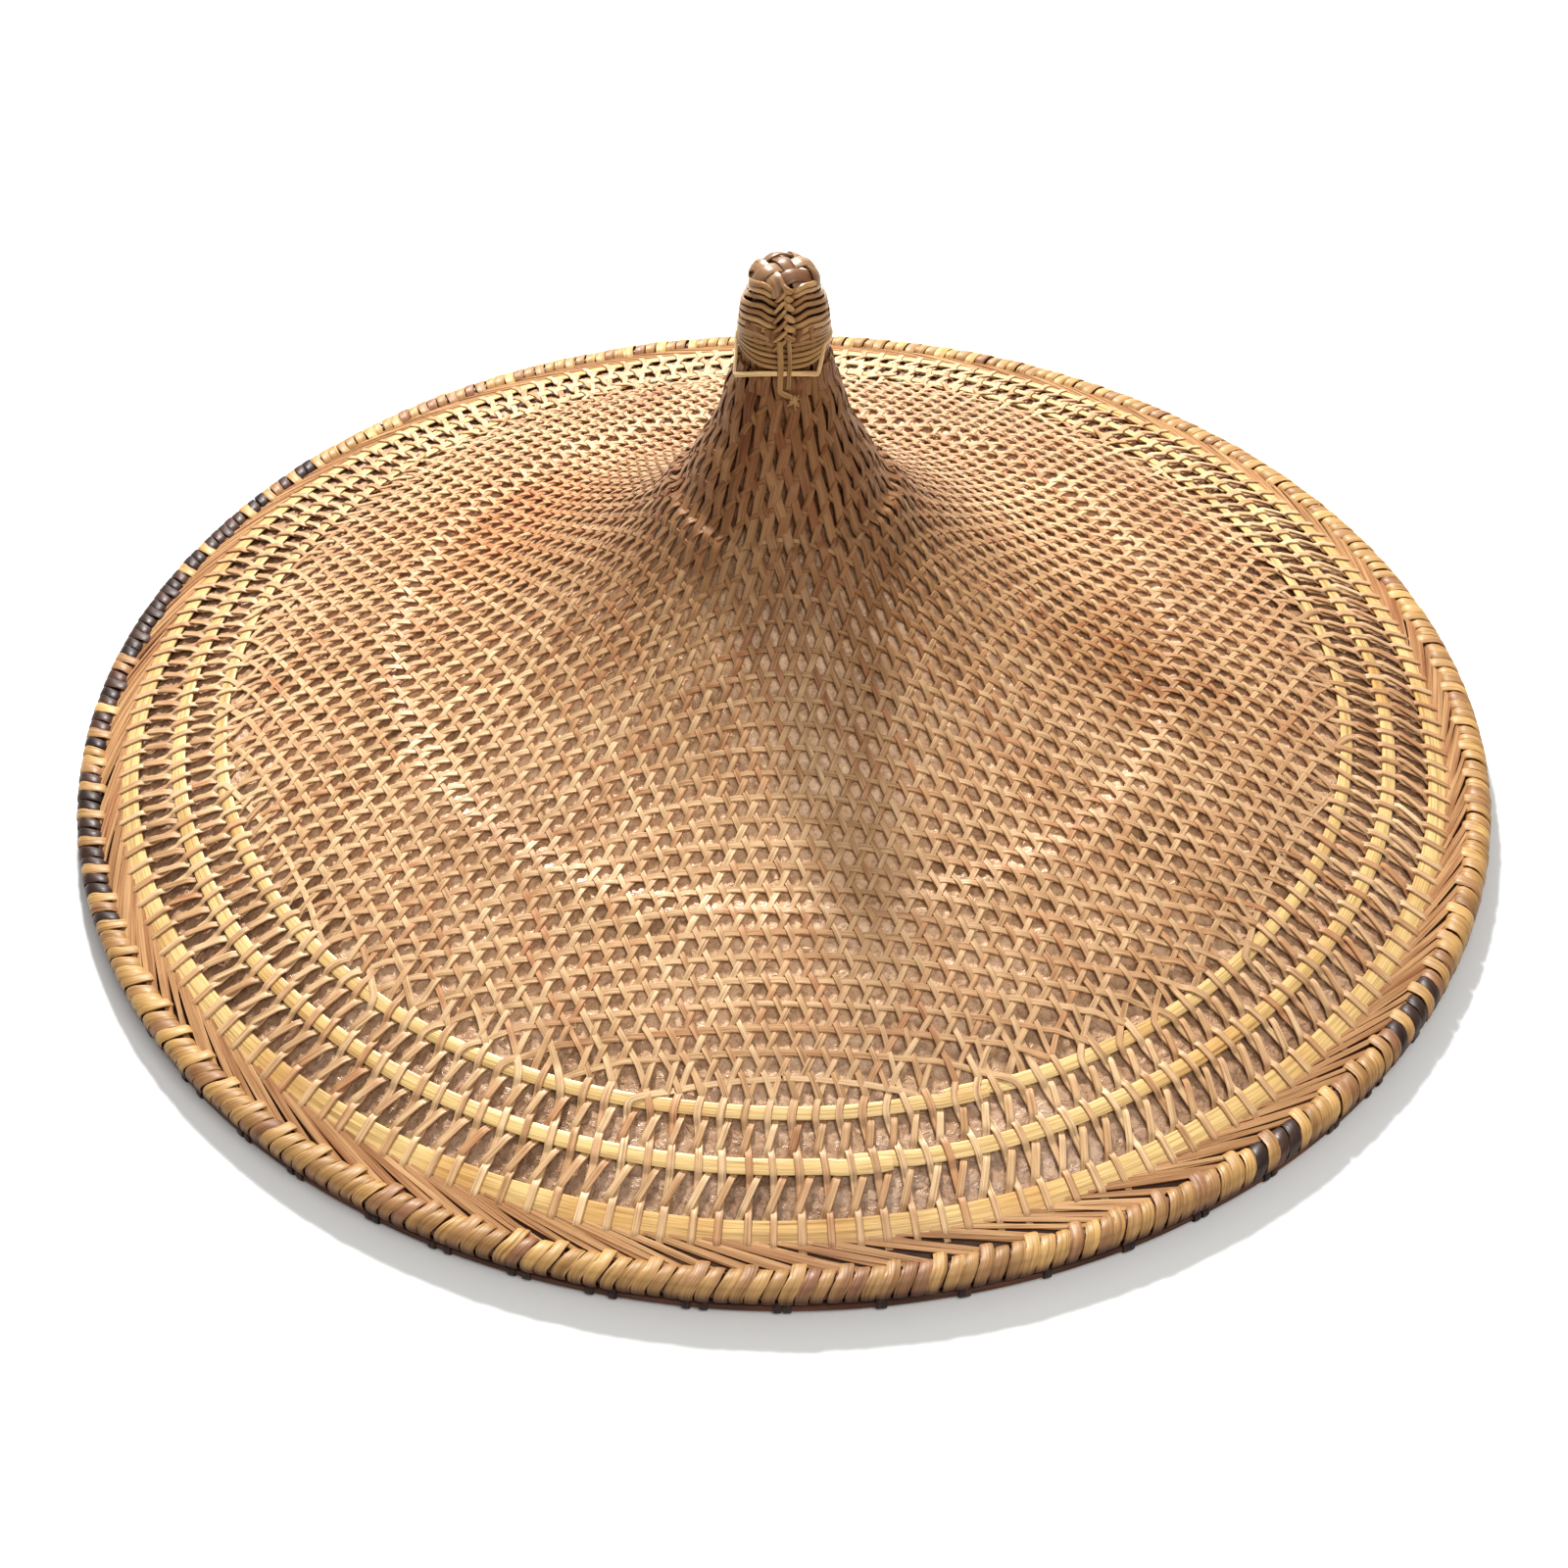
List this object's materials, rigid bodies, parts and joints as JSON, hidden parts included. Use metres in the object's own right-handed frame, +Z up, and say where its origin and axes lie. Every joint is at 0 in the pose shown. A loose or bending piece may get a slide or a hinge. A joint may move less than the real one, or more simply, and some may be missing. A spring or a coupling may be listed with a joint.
{
  "type": "conical hat",
  "caption": "Conical hat woven from split bamboo, with flat hoops, a wrapped rim, a leaf lining and a plaited tip.",
  "frame": {"origin": "on the hat's axis, in the plane of the surface that the rim rests on", "axes": "+Z up along the hat's axis, -Y towards the side with the tip's plait"},
  "size_m": [0.4604, 0.4604, 0.1795],
  "materials": {
    "woven_splint": "split bamboo, satin",
    "inner_splint": "split bamboo, dull",
    "hoop_bamboo": "shaved bamboo, satin",
    "border_splint": "split bamboo, satin",
    "rim_splint": "split bamboo, polished by use",
    "rim_core": "dark bamboo, satin",
    "tip_splint": "broad bamboo strips, glossy",
    "dry_leaf": "dried broad leaf, glossy and crinkled"
  },
  "bodies": {
    "root": {"border_braid": "border_splint", "head_band": "inner_splint", "head_bottom_hoop": "rim_splint", "head_tie_1": "rim_splint", "head_tie_2": "rim_splint", "head_tie_3": "rim_splint", "head_tie_4": "rim_splint", "head_tie_5": "rim_splint", "head_tie_6": "rim_splint", "head_top_hoop": "rim_splint", "inner_hoop": "hoop_bamboo", "inner_weave": "inner_splint", "leaf_lining": "dry_leaf", "middle_hoop": "hoop_bamboo", "outer_hoop": "hoop_bamboo", "outer_weave": "woven_splint", "rim_binding_back": "rim_splint", "rim_binding_back_left": "rim_splint", "rim_binding_back_right": "rim_splint", "rim_binding_front": "rim_splint", "rim_binding_front_left": "rim_splint", "rim_binding_front_right": "rim_splint", "rim_hoop": "rim_core", "rim_under_hoop": "rim_core", "tip_core": "rim_core", "tip_end_knot": "hoop_bamboo", "tip_end_left": "hoop_bamboo", "tip_end_right": "hoop_bamboo", "tip_front_plait": "tip_splint", "tip_knot": "tip_splint", "tip_lower_loops": "tip_splint", "tip_tie": "hoop_bamboo", "tip_wrap_1": "tip_splint", "tip_wrap_2": "tip_splint", "tip_wrap_3": "tip_splint", "tip_wrap_4": "tip_splint", "tip_wrap_5": "tip_splint", "tip_wrap_6": "tip_splint"}
  },
  "joints": []
}
